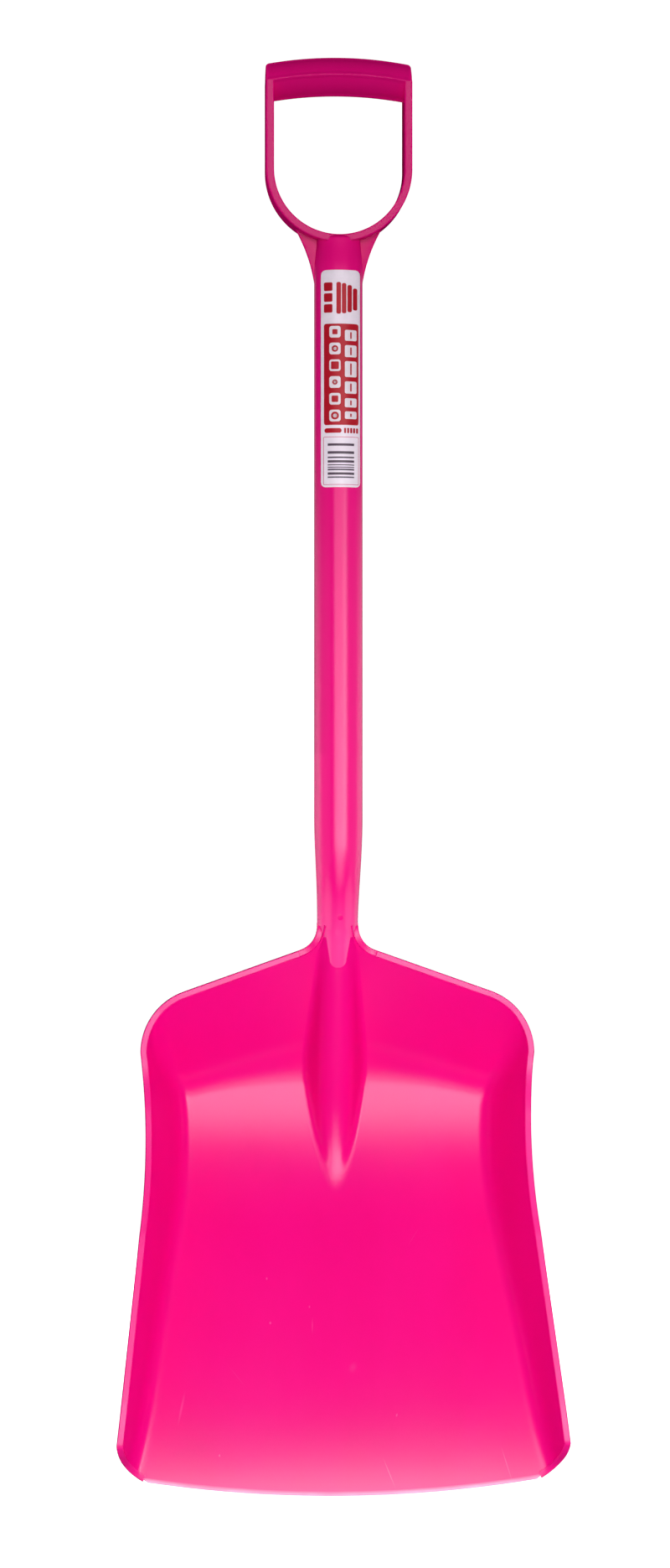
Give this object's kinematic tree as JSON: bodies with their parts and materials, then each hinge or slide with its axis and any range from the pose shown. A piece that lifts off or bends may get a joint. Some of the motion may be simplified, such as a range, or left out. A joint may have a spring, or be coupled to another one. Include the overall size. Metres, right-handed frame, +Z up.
{
  "type": "pan shovel",
  "caption": "Moulded plastic pan shovel with a deep square-mouthed scoop, tapered frog, cranked neck, straight hollow shaft and D-grip.",
  "frame": {"origin": "middle of the bounding box at lip level: x on the middle plane, y half way through the overall depth, z at the lowest point of the lip", "axes": "+Z up along the shaft, +X to the right seen from the scooping side, -Y out of the scooping side"},
  "size_m": [0.3454, 0.1312, 1.1094],
  "materials": {
    "blade_plastic": "smooth semi-gloss pink polypropylene, lightly scuffed",
    "rim_plastic": "smooth semi-gloss pink polypropylene, polished by wear at the edge",
    "shaft_plastic": "smooth satin pink polypropylene",
    "handle_plastic": "smooth satin pink polypropylene",
    "label_film": null
  },
  "bodies": {
    "root": {"blade_pan": "blade_plastic", "blade_lip": "blade_plastic", "frog": "blade_plastic", "rim_left": "rim_plastic", "rim_right": "rim_plastic", "neck": "shaft_plastic", "shaft_tube": "shaft_plastic", "handle_socket": "handle_plastic", "web_left": "handle_plastic", "web_right": "handle_plastic", "d_strap": "handle_plastic", "grip_bar": "handle_plastic", "label": "label_film"}
  },
  "joints": []
}
